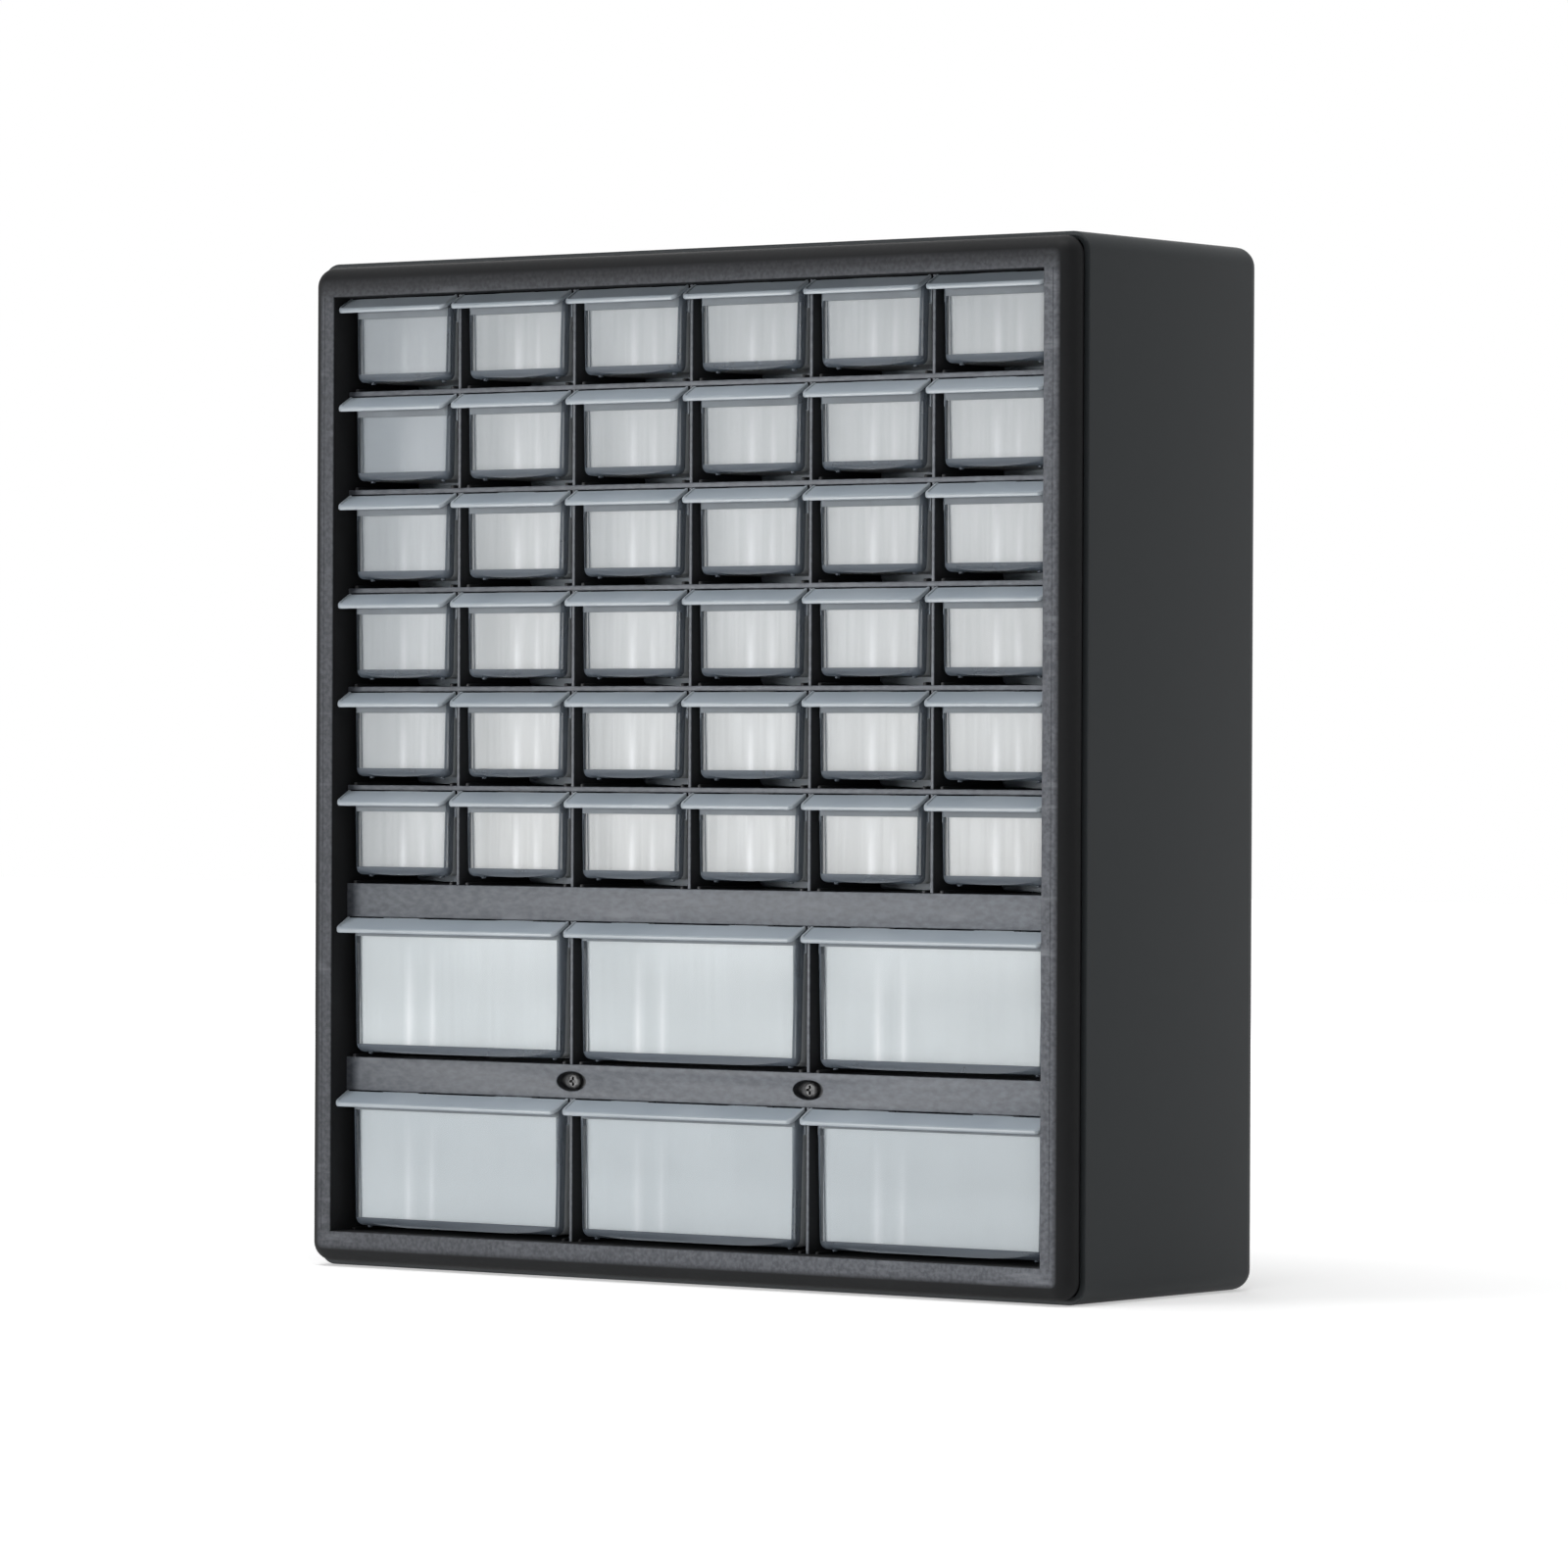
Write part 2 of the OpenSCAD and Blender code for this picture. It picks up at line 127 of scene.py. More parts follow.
def putDown():  # the place, turn and scale go into the mesh
    bpy.ops.object.transform_apply(location=True, rotation=True, scale=True)


def addBlock(name, low, high):
    deselectAll()
    middle = [(a + b) / 2 for a, b in zip(low, high)]
    size = [b - a for a, b in zip(low, high)]
    bpy.ops.mesh.primitive_cube_add(size=1, location=middle, scale=size)
    putDown()
    piece = bpy.context.object
    piece.name = name
    piece.data.name = name
    return piece


def softBlock(name, low, high, width, segments):  # a block with all its edges eased
    piece = addBlock(name, low, high)
    chooseEdges(piece, lambda middle, way: True)
    bevelChosen(width, segments)
    return piece


def addCylinder(sides, radius, depth, place, turn=0, stretch=(1, 1, 1)):  # turned about X
    deselectAll()
    bpy.ops.mesh.primitive_cylinder_add(vertices=sides, radius=radius, depth=depth, location=place,
                                        rotation=(turn, 0, 0), scale=stretch)
    putDown()
    return bpy.context.object


def combine(piece, other, operation):  # boolean of two closed pieces; the other one is used up
    pick(piece)
    bpy.ops.object.modifier_add(type="BOOLEAN")
    step = piece.modifiers[-1]
    step.operation = operation
    step.solver = "EXACT"
    step.object = other
    bpy.ops.object.modifier_apply(modifier=step.name)
    bpy.data.objects.remove(other, do_unlink=True)


def cut(piece, other):
    combine(piece, other, "DIFFERENCE")


def weld(piece, other):
    combine(piece, other, "UNION")


def join(piece, others):
    if others:
        pick(piece, *others)
        bpy.ops.object.join()
    return piece


def smooth(piece, degrees=35):
    pick(piece)
    bpy.ops.object.shade_smooth_by_angle(angle=math.radians(degrees))


def dress(piece, material):
    piece.data.materials.clear()
    piece.data.materials.append(material)


def mountOnCase(piece, node):
    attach(piece, "case")
    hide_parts(node)


def copyPiece(piece, name, shift):  # a copy with its own mesh, moved and put down
    pick(piece)
    bpy.ops.object.duplicate(linked=False)
    twin = bpy.context.object
    twin.name = name
    twin.data.name = name
    bpy.ops.transform.translate(value=shift)
    putDown()
    return twin


# materials

def startMaterial(name):
    material = bpy.data.materials.new(name)
    material.use_nodes = True
    nodes = material.node_tree.nodes
    return material, nodes, material.node_tree.links, nodes["Principled BSDF"]


def addNoise(nodes, links, scale, detail, stretch=(1, 1, 1)):
    place = nodes.new("ShaderNodeTexCoord")
    turn = nodes.new("ShaderNodeMapping")
    turn.inputs["Scale"].default_value = stretch
    noise = nodes.new("ShaderNodeTexNoise")
    noise.inputs["Scale"].default_value = scale
    noise.inputs["Detail"].default_value = detail
    links.new(place.outputs["Object"], turn.inputs["Vector"])
    links.new(turn.outputs["Vector"], noise.inputs["Vector"])
    return noise


def addRamp(nodes, links, source, low, high, lowColour, highColour):
    ramp = nodes.new("ShaderNodeValToRGB")
    ramp.color_ramp.elements[0].position = low
    ramp.color_ramp.elements[1].position = high
    ramp.color_ramp.elements[0].color = lowColour
    ramp.color_ramp.elements[1].color = highColour
    links.new(source, ramp.inputs["Fac"])
    return ramp


def addRange(nodes, links, source, low, high):
    spread = nodes.new("ShaderNodeMapRange")
    spread.inputs["To Min"].default_value = low
    spread.inputs["To Max"].default_value = high
    links.new(source, spread.inputs["Value"])
    return spread


def addSlope(nodes, links, axis, ends, values):  # a value that changes steadily along one axis
    place = nodes.new("ShaderNodeTexCoord")
    split = nodes.new("ShaderNodeSeparateXYZ")
    links.new(place.outputs["Object"], split.inputs["Vector"])
    slope = addRange(nodes, links, split.outputs[axis], *values)
    slope.inputs["From Min"].default_value, slope.inputs["From Max"].default_value = ends
    return slope


def addMix(nodes, links, factor, first, second):
    mix = nodes.new("ShaderNodeMix")
    mix.data_type = "RGBA"
    if factor:
        links.new(factor, mix.inputs["Factor"])
    links.new(first, mix.inputs["A"])
    if isinstance(second, tuple):
        mix.inputs["B"].default_value = second
    else:
        links.new(second, mix.inputs["B"])
    return mix


def addMultiply(nodes, links, first, second):
    mix = addMix(nodes, links, None, first, second)
    mix.blend_type = "MULTIPLY"
    mix.inputs["Factor"].default_value = 1
    return mix


def addBump(nodes, links, shader, relief, strength, depth):
    bump = nodes.new("ShaderNodeBump")
    bump.inputs["Strength"].default_value = strength
    bump.inputs["Distance"].default_value = depth
    links.new(relief.outputs["Fac"], bump.inputs["Height"])
    links.new(bump.outputs["Normal"], shader.inputs["Normal"])


def addRough(nodes, links, shader, source, look):
    rough = addRange(nodes, links, source.outputs["Fac"], look["roughLow"], look["roughHigh"])
    links.new(rough.outputs["Result"], shader.inputs["Roughness"])


housingLook = {
    "dark": (0.021, 0.025, 0.0275, 1), "light": (0.025, 0.029, 0.0315, 1), "cloud": 9,
    "roughLow": 0.5, "roughHigh": 0.58, "gloss": 0.3,
    "grain": 1500, "grainDepth": 0.05 * mm, "grainStrength": 0.35,
}


def housingMaterial(look):
    material, nodes, links, shader = startMaterial("charcoalPlastic")
    cloud = addNoise(nodes, links, look["cloud"], 4)
    tint = addRamp(nodes, links, cloud.outputs["Fac"], 0.35, 0.65, look["dark"], look["light"])
    links.new(tint.outputs["Color"], shader.inputs["Base Color"])
    addRough(nodes, links, shader, cloud, look)
    shader.inputs["Specular IOR Level"].default_value = look["gloss"]
    grain = addNoise(nodes, links, look["grain"], 2)
    addBump(nodes, links, shader, grain, look["grainStrength"], look["grainDepth"])
    return material


bezelLook = {
    "dark": (0.0062, 0.0066, 0.0074, 1), "light": (0.0092, 0.0096, 0.0106, 1),
    "paintedSheenDark": (0.034, 0.036, 0.041, 1), "paintedSheenLight": (0.058, 0.061, 0.068, 1),
    "scuff": (0.085, 0.089, 0.098, 1), "mottle": 620, "stretch": (1, 1, 1),
    "near": frontY + 0.05 * mm, "far": frontY + 0.6 * mm,  # the painted sheen ends between these depths
    "lift": (1.42, 2.2), "paintedTopShade": 0.27,                    # painted light, lighter to the right; painted shade, darker along the top
    "roughLow": 0.58, "roughHigh": 0.7, "gloss": 0.2, "grain": 1800, "grainDepth": 0.04 * mm,
}
# the grid's front faces get the same painted sheen
gridLook = {
    "dark": (0.014, 0.0148, 0.0165, 1), "light": (0.02, 0.021, 0.0235, 1),
    "paintedSheenDark": (0.07, 0.078, 0.092, 1), "paintedSheenLight": (0.122, 0.134, 0.154, 1),
    "scuff": (0.15, 0.16, 0.18, 1), "mottle": 380, "stretch": (0.6, 1, 1.3),
    "near": edgeY + 0.1 * mm, "far": edgeY + 0.5 * mm,
    "lift": (0.76, 1.1), "paintedTopShade": 1,
    "roughLow": 0.44, "roughHigh": 0.56, "gloss": 0.42, "grain": 1500, "grainDepth": 0.04 * mm,
}
paintedTopShadeEnds = (frameHigh[2] - 16 * mm, frameHigh[2] - 8 * mm)  # heights between which the painted shade along the top sets in
marksLook = {"scale": 70, "stretch": (0.4, 1, 2.2), "low": 0.62, "high": 0.74}


def blackMaterial(name, look):  # black plastic whose front faces are painted grey as a sheen for the key light, with scuff marks on top
    material, nodes, links, shader = startMaterial(name)
    cloud = addNoise(nodes, links, 14, 5)
    body = addRamp(nodes, links, cloud.outputs["Fac"], 0.35, 0.7, look["dark"], look["light"])
    mottle = addNoise(nodes, links, look["mottle"], 6, look["stretch"])
    # painted sheen: the front faces are lighter grey for the key light they reflect
    face = addRamp(nodes, links, mottle.outputs["Fac"], 0.35, 0.65, look["paintedSheenDark"], look["paintedSheenLight"])
    marks = addNoise(nodes, links, marksLook["scale"], 9, marksLook["stretch"])
    worn = addRamp(nodes, links, marks.outputs["Fac"], marksLook["low"], marksLook["high"],
                   (0, 0, 0, 1), (1, 1, 1, 1))
    sheenAndScuffs = addMix(nodes, links, worn.outputs["Color"], face.outputs["Color"], look["scuff"])
    # painted light: the sheen grows lighter to the right; painted shade: it darkens along the top
    lift = addSlope(nodes, links, "X", (frameLow[0], frameHigh[0]), look["lift"])
    sheenLitToRight = addMultiply(nodes, links, sheenAndScuffs.outputs["Result"], lift.outputs["Result"])
    paintedTopShade = addSlope(nodes, links, "Z", paintedTopShadeEnds, (1, look["paintedTopShade"]))
    sheenShadedAtTop = addMultiply(nodes, links, sheenLitToRight.outputs["Result"], paintedTopShade.outputs["Result"])
    # the painted sheen covers only the front faces and fades out behind them
    fade = addSlope(nodes, links, "Y", (look["near"], look["far"]), (1, 0))
    tint = addMix(nodes, links, fade.outputs["Result"], body.outputs["Color"], sheenShadedAtTop.outputs["Result"])
    links.new(tint.outputs["Result"], shader.inputs["Base Color"])
    addRough(nodes, links, shader, mottle, look)
    shader.inputs["Specular IOR Level"].default_value = look["gloss"]
    addBump(nodes, links, shader, addNoise(nodes, links, look["grain"], 2), 0.3, look["grainDepth"])
    return material


clearLook = {  # the middle of a drawer's front wall
    "cool": (0.4, 0.46, 0.52, 1), "pale": (0.5, 0.56, 0.62, 1), "cloud": 30,
    "alpha": 0.07, "roughLow": 0.12, "roughHigh": 0.2, "flow": 45, "flowStretch": (1, 0.4, 0.12),
    "flowDepth": 0.3 * mm,
}
edgeShadeLook = {  # its thick edges, painted darker and bluer as a painted shade of the dark inside seen through them
    "cool": (0.08, 0.1, 0.125, 1), "pale": (0.1, 0.122, 0.15, 1), "cloud": 45,
    "alpha": 0.7, "roughLow": 0.48, "roughHigh": 0.6, "flow": 60, "flowStretch": (1, 0.4, 0.4),
    "flowDepth": 0.1 * mm,
}
bandShadeLook = {  # the front wall above the card, painted grey as the lip's painted shadow
    "cool": (0.17, 0.19, 0.21, 1), "pale": (0.205, 0.23, 0.25, 1), "cloud": 60,
    "alpha": 0.86, "roughLow": 0.58, "roughHigh": 0.7, "flow": 200, "flowStretch": (1, 1, 1),
    "flowDepth": 0.05 * mm,
}
tabShadeLook = {  # most small tabs, painted dark as a painted shade for their place under the shelf
    "cool": (0.03, 0.034, 0.04, 1), "pale": (0.045, 0.05, 0.058, 1), "cloud": 60,
    "alpha": 0.9, "roughLow": 0.55, "roughHigh": 0.65, "flow": 200, "flowStretch": (1, 1, 1),
    "flowDepth": 0.05 * mm,
}
hazeLook = {  # side walls and floor
    "cool": (0.52, 0.55, 0.575, 1), "pale": (0.6, 0.63, 0.655, 1), "cloud": 30,
    "alpha": 0.78, "roughLow": 0.25, "roughHigh": 0.36, "flow": 45, "flowStretch": (1, 0.4, 0.12),
    "flowDepth": 0.3 * mm,
}
rimLook = {  # the thicker side rims and the lip's front edge
    "cool": (0.3, 0.34, 0.375, 1), "pale": (0.37, 0.41, 0.445, 1), "cloud": 30,
    "alpha": 0.85, "roughLow": 0.3, "roughHigh": 0.42, "flow": 200, "flowStretch": (1, 1, 1),
    "flowDepth": 0.1 * mm,
}
frostLook = {  # the lip, the step below and the tabs that show
    "cool": (0.31, 0.36, 0.41, 1), "pale": (0.375, 0.425, 0.475, 1), "cloud": 22,
    "alpha": 0.86, "roughLow": 0.36, "roughHigh": 0.5, "flow": 900, "flowStretch": (1, 1, 1),
    "flowDepth": 0.03 * mm,
}


def clearMaterial(name, look):
    material, nodes, links, shader = startMaterial(name)
    cloud = addNoise(nodes, links, look["cloud"], 3)
    tint = addRamp(nodes, links, cloud.outputs["Fac"], 0.35, 0.65, look["cool"], look["pale"])
    links.new(tint.outputs["Color"], shader.inputs["Base Color"])
    addRough(nodes, links, shader, cloud, look)
    shader.inputs["Alpha"].default_value = look["alpha"]
    shader.inputs["IOR"].default_value = 1.5
    flow = addNoise(nodes, links, look["flow"], 1, look["flowStretch"])
    addBump(nodes, links, shader, flow, 0.25, look["flowDepth"])
    return material


smallCardLook = {
    "warm": (0.63, 0.635, 0.625, 1), "cool": (0.69, 0.7, 0.695, 1), "foldHighlight": (0.95, 0.955, 0.96, 1),
    "shade": (0.3, 0.33, 0.355, 1), "streak": 0.91, "fibre": 700, "fibreDepth": 0.03 * mm,
}
largeCardLook = {
    "warm": (0.63, 0.67, 0.68, 1), "cool": (0.67, 0.71, 0.72, 1), "foldHighlight": (0.94, 0.955, 0.965, 1),
    "shade": (0.46, 0.51, 0.545, 1), "streak": 0.97, "fibre": 700, "fibreDepth": 0.03 * mm,
}
reflectionStreakLook = {"scale": 420, "stretch": (1, 1, 0.03), "low": 0.4, "high": 0.6}  # painted reflection: thin upright light and dark streaks


def addAttribute(nodes, name):
    attribute = nodes.new("ShaderNodeAttribute")
    attribute.attribute_name = name
    return attribute.outputs["Fac"]


def cardMaterial(name, look):
    material, nodes, links, shader = startMaterial(name)
    cloud = addNoise(nodes, links, 25, 4)
    plain = addRamp(nodes, links, cloud.outputs["Fac"], 0.3, 0.7, look["warm"], look["cool"])
    # painted reflection: thin upright streaks lighten and darken the card
    lines = addNoise(nodes, links, reflectionStreakLook["scale"], 2, reflectionStreakLook["stretch"])
    dim = addRange(nodes, links, lines.outputs["Fac"], look["streak"], 1)
    dim.inputs["From Min"].default_value = reflectionStreakLook["low"]
    dim.inputs["From Max"].default_value = reflectionStreakLook["high"]
    tint = addMultiply(nodes, links, plain.outputs["Color"], dim.outputs["Result"])
    # painted highlight: folds are lighter where they catch the key light
    foldsHighlighted = addMix(nodes, links, addAttribute(nodes, "foldHighlight"), tint.outputs["Result"], look["foldHighlight"])
    # painted shade: cards darken by row and column
    paintedShade = addMix(nodes, links, addAttribute(nodes, "paintedShade"), foldsHighlighted.outputs["Result"], look["shade"])
    links.new(paintedShade.outputs["Result"], shader.inputs["Base Color"])
    shader.inputs["Roughness"].default_value = 0.85
    addBump(nodes, links, shader, addNoise(nodes, links, look["fibre"], 4), 0.3, look["fibreDepth"])
    return material


screwLook = {
    "dark": (0.07, 0.07, 0.072, 1), "light": (0.17, 0.17, 0.17, 1), "roughLow": 0.5, "roughHigh": 0.68,
}


def screwMaterial(look):
    material, nodes, links, shader = startMaterial("dullZinc")
    cloud = addNoise(nodes, links, 900, 4)
    tint = addRamp(nodes, links, cloud.outputs["Fac"], 0.35, 0.65, look["dark"], look["light"])
    links.new(tint.outputs["Color"], shader.inputs["Base Color"])
    shader.inputs["Metallic"].default_value = 1
    addRough(nodes, links, shader, cloud, look)
    return material


charcoalPlastic = housingMaterial(housingLook)
bezelPlastic = blackMaterial("bezelPlastic", bezelLook)
gridPlastic = blackMaterial("gridPlastic", gridLook)
clearPlastic = clearMaterial("clearPlastic", clearLook)
edgeShadePlastic = clearMaterial("edgeShadePlastic", edgeShadeLook)
bandShadePlastic = clearMaterial("bandShadePlastic", bandShadeLook)
tabShadePlastic = clearMaterial("tabShadePlastic", tabShadeLook)
hazyPlastic = clearMaterial("hazyPlastic", hazeLook)
rimPlastic = clearMaterial("rimPlastic", rimLook)
frostedPlastic = clearMaterial("frostedPlastic", frostLook)
smallCard = cardMaterial("smallCard", smallCardLook)
largeCard = cardMaterial("largeCard", largeCardLook)
dullZinc = screwMaterial(screwLook)
print("materials made")


# the housing: a tub with rounded edges, a sunk back panel and two keyholes

housingSize = {
    "edge": 8 * mm, "wall": 2.6 * mm, "rim": 0.9 * mm, "rimReach": 1.5 * mm, "cornerReach": 1.4 * mm,
    "panelRim": 6 * mm, "panelStep": 0.6 * mm, "panelDepth": 1 * mm,
    "keyRadius": 4.5 * mm, "keyDepth": 6 * mm, "slotWidth": 4.6 * mm, "slotLength": 10 * mm,
}


def onOuterRim(p, size):  # on the housing's outline, not round its opening
    middleZ, edge = (caseLow[2] + caseHigh[2]) / 2, size["edge"]
    sideways, upward = abs(p.x) - caseHigh[0], abs(p.z - middleZ) - middleZ  # below 0 inside the outline
    if max(sideways, upward) > -size["rimReach"]:
        return True
    return math.hypot(max(sideways + edge, 0), max(upward + edge, 0)) > edge - size["cornerReach"]


def cutKeyhole(piece, x, z, size):
    y, half, deep = caseHigh[1], size["slotWidth"] / 2, size["keyDepth"]
    for radius, lift in ((size["keyRadius"], 0), (half, size["slotLength"])):
        cut(piece, addCylinder(40, radius, 2 * deep, (x, y, z + lift), quarterTurn))
    cut(piece, addBlock("slot", (x - half, y - deep, z), (x + half, y + deep, z + size["slotLength"])))


def makeHousing(size):
    low, high = caseLow, caseHigh
    piece = addBlock("housing_shell", low, high)
    chooseEdges(piece, lambda p, way: abs(way.y) > straight or abs(p.y - high[1]) < tiny)
    bevelChosen(size["edge"], 10)
    chooseFaces(piece, lambda p, normal: normal.y < -straight)
    bpy.ops.mesh.delete(type="FACE")
    pick(piece)
    bpy.ops.object.modifier_add(type="SOLIDIFY")
    shell = piece.modifiers[-1]
    shell.thickness = size["wall"]
    shell.offset = -1
    shell.use_even_offset = True
    bpy.ops.object.modifier_apply(modifier=shell.name)
    chooseEdges(piece, lambda p, way: abs(p.y - low[1]) < tiny and abs(way.y) < 0.1 and onOuterRim(p, size))
    bevelChosen(size["rim"], 3)
    chooseFaces(piece, lambda p, normal: normal.y > straight and p.y > high[1] - tiny)
    bpy.ops.mesh.inset(thickness=size["panelRim"], depth=0)
    bpy.ops.mesh.inset(thickness=size["panelStep"], depth=-size["panelDepth"])
    objectMode()
    drawerLow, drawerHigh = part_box("small_drawer_2_6")
    keyX = (drawerLow[0] + drawerHigh[0]) / 2
    keyZ = (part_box("shelf_2")[1][2] - railTall + shelfLow[2] + ridgeDrop) / 2  # halfway up the second row
    for side in (-1, 1):
        cutKeyhole(piece, side * keyX, keyZ, size)
    smooth(piece)
    dress(piece, charcoalPlastic)
    mountOnCase(piece, "housing")


makeHousing(housingSize)
print("housing made")


# the front frame: bezel, plug and the sleeve round the cells

bezelSize = {
    "edge": 8 * mm, "depth": 8.4 * mm, "groove": 1.1 * mm, "plugFront": 4 * mm, "plugDepth": 14.4 * mm,
    "sleeve": 2 * mm, "sleeveFront": 10 * mm, "border": 12.6 * mm, "leadIn": 0.5 * mm,
    "lineX": 180.3 * mm, "lineWidth": 0.5 * mm, "lineDepth": 0.12 * mm,
}
openLow = frameLow[2] + bezelSize["border"]
openHigh = frameHigh[2] - bezelSize["border"]
openX = frameHigh[0] - bezelSize["border"]
beyond = 5 * mm               # a cutting block reaches this far past what it cuts


def makeFrontFrame(size):
    low, high = frameLow, frameHigh
    groove, wall = size["groove"], size["sleeve"]
    piece = addBlock("front_bezel", low, (high[0], low[1] + size["depth"], high[2]))
    chooseEdges(piece, lambda p, way: abs(way.y) > straight or abs(p.y - low[1]) < tiny)
    bevelChosen(size["edge"], 12)
    plug = addBlock("plug", (low[0] + groove, low[1] + size["plugFront"], low[2] + groove),
                    (high[0] - groove, low[1] + size["plugDepth"], high[2] - groove))
    chooseEdges(plug, lambda p, way: abs(way.y) > straight)
    bevelChosen(size["edge"] - groove, 10)
    weld(piece, plug)
    weld(piece, addBlock("sleeve", (-openX - wall, low[1] + size["sleeveFront"], openLow - wall),
                         (openX + wall, high[1], openHigh + wall)))
    cut(piece, addBlock("opening", (-openX, low[1] - beyond, openLow), (openX, high[1] + beyond, openHigh)))
    reach = 10 * tiny
    chooseEdges(piece, lambda p, way: abs(p.y - low[1]) < tiny and abs(p.x) < openX + reach
                and openLow - reach < p.z < openHigh + reach)
    bevelChosen(size["leadIn"], 2)
    for side in (-1, 1):
        middle, half = side * size["lineX"], size["lineWidth"] / 2
        cut(piece, addBlock("line", (middle - half, low[1] - 1 * mm, openLow),
                            (middle + half, low[1] + size["lineDepth"], openHigh)))
    smooth(piece)
    return piece


railSize = {"half": 0.9 * mm, "root": 0.5 * mm, "round": 0.75 * mm, "setBack": 0.5 * mm, "leadIn": 1 * mm,
            "small": 25.2 * mm, "large": 54.6 * mm}
ridgeSize = {"half": 9.2 * mm, "near": 4 * mm, "far": 5.6 * mm, "root": 0.5 * mm, "ease": 0.2 * mm}


def makeRails(cellX, reach, floor, size):  # the two guide rails of a cell, their front ends rounded
    rails, low, half = [], edgeY + size["setBack"], size["half"]
    for side in (-1, 1):
        middle = cellX + side * reach
        rail = addBlock("rail", (middle - half, low, floor - size["root"]),
                        (middle + half, shelfHigh[1], floor + railTall))
        chooseEdges(rail, lambda p, way: p.z > floor + 2 * mm or (p.y < low + tiny and abs(way.z) > 0.9))
        bevelChosen(size["round"], 4)
        for point in rail.data.vertices:  # a low lead-in at the front
            if point.co.y < low + size["leadIn"] and point.co.z > floor:
                point.co.z = floor + (point.co.z - floor) * 0.5
        rails.append(rail)
    return rails


def makeRidge(x, ceiling, size):  # the stop ridge under a cell's ceiling
    return softBlock("ridge", (x - size["half"], edgeY + size["near"], ceiling - ridgeDrop),
                     (x + size["half"], edgeY + size["far"], ceiling + size["root"]), size["ease"], 2)


def centresOf(kind, cols):
    boxes = [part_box(f"{kind}_drawer_1_{col}") for col in range(1, cols + 1)]
    return [(low[0] + high[0]) / 2 for low, high in boxes]


smallCentres, largeCentres = centresOf("small", 6), centresOf("large", 3)
smallPitch = smallCentres[1] - smallCentres[0]


def smallRails(floor):
    return [rail for x in smallCentres for rail in makeRails(x, railSize["small"], floor, railSize)]


def largeRails(floor):
    return [rail for x in largeCentres for rail in makeRails(x, railSize["large"], floor, railSize)]


def smallRidges(ceiling):
    return [makeRidge(x, ceiling, ridgeSize) for x in smallCentres]


def largeRidges(ceiling):
    aside = smallPitch / 2
    return [makeRidge(x + shift, ceiling, ridgeSize) for x in largeCentres for shift in (-aside, aside)]


bezel = join(makeFrontFrame(bezelSize), largeRails(openLow) + smallRidges(openHigh))
dress(bezel, bezelPlastic)
mountOnCase(bezel, "front_frame")
print("front frame made")


# shelves and dividers

gridSize = {"shelf": 2 * mm, "divider": 1.4 * mm, "ease": 0.3 * mm}
shelfNames = [f"shelf_{k}" for k in range(1, 6)]


def makeShelf(size):  # slotted from behind for the dividers
    top = shelfHigh[2] - railTall
    piece = softBlock("shelf_1_plate", (-openX, edgeY, top - size["shelf"]), (openX, shelfHigh[1], top),
                      size["ease"], 3)
    lap = (edgeY + shelfHigh[1]) / 2
    for left, right in zip(smallCentres, smallCentres[1:]):
        x, half = (left + right) / 2, size["divider"] / 2
        cut(piece, addBlock("slot", (x - half, lap, top - beyond),
                            (x + half, shelfHigh[1] + beyond, top + beyond)))
    join(piece, smallRails(top) + smallRidges(top - size["shelf"]))
    smooth(piece)
    dress(piece, gridPlastic)
    return piece


firstShelf = makeShelf(gridSize)
for name in shelfNames[1:]:
    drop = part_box(name)[0][2] - shelfLow[2]
    mountOnCase(copyPiece(firstShelf, name + "_plate", (0, 0, drop)), name)
mountOnCase(firstShelf, "shelf_1")


def makeDivider(size):  # slotted from the front for the shelves
    low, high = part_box("divider_1")
    piece = softBlock("divider_1_plate", low, high, size["ease"], 3)
    lap = (low[1] + high[1]) / 2
    for name in shelfNames:
        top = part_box(name)[1][2] - railTall
        cut(piece, addBlock("notch", (low[0] - beyond, low[1] - beyond, top - size["shelf"]),
                            (high[0] + beyond, lap, top)))
    smooth(piece)
    dress(piece, gridPlastic)
    return piece


firstDivider = makeDivider(gridSize)
for k in range(2, 6):
    mountOnCase(copyPiece(firstDivider, f"divider_{k}_plate", ((k - 1) * smallPitch, 0, 0)), f"divider_{k}")
mountOnCase(firstDivider, "divider_1")

for rowName in ("upper", "lower"):
    low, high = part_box(f"large_dividers_{rowName}")
    half = gridSize["divider"] / 2
    plates = [softBlock(f"large_divider_{rowName}", (x - half, low[1], low[2]),
                        (x + half, high[1], high[2]), gridSize["ease"], 3)
              for x in (low[0] + half, high[0] - half)]
    pair = join(plates[0], plates[1:])
    smooth(pair)
    dress(pair, gridPlastic)
    mountOnCase(pair, f"large_dividers_{rowName}")
print("grid made")


# the two bars, the lower one with its screw recesses

barSize = {
    "height": 13.6 * mm, "plate": 2 * mm, "web": 2.2 * mm, "ease": 0.3 * mm,
    "ovalLength": 15.7 * mm, "ovalHeight": 8.3 * mm, "ovalDepth": 3.5 * mm, "ovalNarrow": (0.86, 1, 0.86),
    "ovalBottom": 0.8 * mm, "ovalRim": 0.35 * mm,
    "bossHalf": 10.3 * mm, "bossIn": 1 * mm, "bossDepth": 8 * mm,
}


